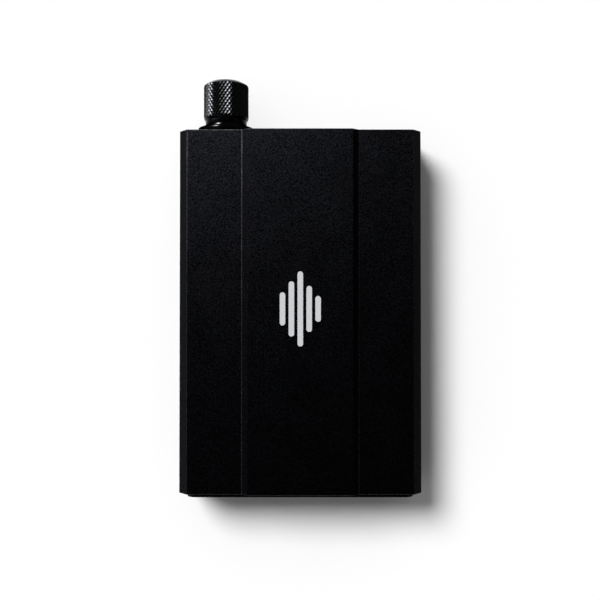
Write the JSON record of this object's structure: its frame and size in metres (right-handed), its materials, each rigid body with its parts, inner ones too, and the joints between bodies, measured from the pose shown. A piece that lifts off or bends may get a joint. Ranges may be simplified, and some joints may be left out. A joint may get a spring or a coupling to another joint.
{
  "type": "digital audio player",
  "caption": "Black metal pocket music player with a knurled volume knob on its top end, a raised rear panel, display, front keys, headphone jacks and working insides.",
  "frame": {"origin": "centre of the case's length and width, on the display-side face it rests on", "axes": "+Z out of the rear face with the raised panel, +Y along the case towards the volume knob, +X to the right seen from the rear with the knob at the top"},
  "size_m": [0.0668, 0.1161, 0.02],
  "materials": {
    "case": "black anodised, fine bead-blasted",
    "end_plate": "black anodised, satin",
    "knob": "black anodised, diamond knurled",
    "collar": "black anodised, turned and polished",
    "key": "dark grey anodised, satin",
    "screw": "blackened steel",
    "encoder": "plated steel",
    "tinned": "tinned sheet",
    "gilt": "gold plated brass",
    "cover_glass": "polished, black printed border",
    "display": "dark display module",
    "gasket": "black foam",
    "ribbon": "amber polyimide",
    "board": "green solder mask",
    "audio_board": "blue solder mask",
    "chip": "moulded black epoxy",
    "black_plastic": "black moulding",
    "pale_plastic": "off-white moulding",
    "battery": "blue laminated pouch"
  },
  "bodies": {
    "player": {"case_tube": "case", "top_end_plate": "end_plate", "bottom_end_plate": "end_plate", "knob_collar": "collar", "top_screw_1": "screw", "top_screw_2": "screw", "top_screw_3": "screw", "top_screw_4": "screw", "bottom_screw_1": "screw", "bottom_screw_2": "screw", "bottom_screw_3": "screw", "bottom_screw_4": "screw", "encoder_body": "encoder", "usb_socket": "tinned", "card_socket": "tinned", "shield_can": "tinned", "capacitor_1": "tinned", "capacitor_2": "tinned", "capacitor_3": "tinned", "capacitor_4": "tinned", "encoder_nut": "gilt", "headphone_jack_ring": "gilt", "balanced_jack_ring": "gilt", "display_glass": "cover_glass", "display_panel": "display", "display_gasket": "gasket", "battery_pad": "gasket", "display_ribbon": "ribbon", "main_board": "board", "audio_board": "audio_board", "processor_chip": "chip", "memory_chip": "chip", "dac_chip": "chip", "left_amplifier_chip": "chip", "right_amplifier_chip": "chip", "headphone_jack": "black_plastic", "balanced_jack": "black_plastic", "power_switch": "black_plastic", "back_switch": "black_plastic", "previous_switch": "black_plastic", "play_switch": "black_plastic", "next_switch": "black_plastic", "board_connector": "pale_plastic", "battery_plug": "pale_plastic", "light_pipe": "pale_plastic", "battery_pack": "battery"},
    "knob": {"volume_knob": "knob", "encoder_shaft": "encoder", "knob_set_screw": "screw"},
    "back_key": {"back_key": "key"},
    "previous_key": {"previous_key": "key"},
    "play_key": {"play_key": "key"},
    "next_key": {"next_key": "key"},
    "power_button": {"power_button": "key"}
  },
  "joints": [
    {"name": "volume_turn", "type": "hinge", "parent": "player", "child": "knob", "pos_m": [-0.02113, 0.059, 0.0093], "axis": [0, 1, 0], "continuous": true},
    {"name": "back_key_press", "type": "slide", "parent": "player", "child": "back_key", "axis": [0, 0, 1], "range_m": [0, 0.00035], "stiffness_N_per_m": 500, "springref_m": -0.0003},
    {"name": "previous_key_press", "type": "slide", "parent": "player", "child": "previous_key", "axis": [0, 0, 1], "range_m": [0, 0.00035], "stiffness_N_per_m": 500, "springref_m": -0.0003},
    {"name": "play_key_press", "type": "slide", "parent": "player", "child": "play_key", "axis": [0, 0, 1], "range_m": [0, 0.00035], "stiffness_N_per_m": 500, "springref_m": -0.0003},
    {"name": "next_key_press", "type": "slide", "parent": "player", "child": "next_key", "axis": [0, 0, 1], "range_m": [0, 0.00035], "stiffness_N_per_m": 500, "springref_m": -0.0003},
    {"name": "power_button_press", "type": "slide", "parent": "player", "child": "power_button", "axis": [0, -1, 0], "range_m": [0, 0.0005], "stiffness_N_per_m": 500, "springref_m": -0.0003}
  ]
}
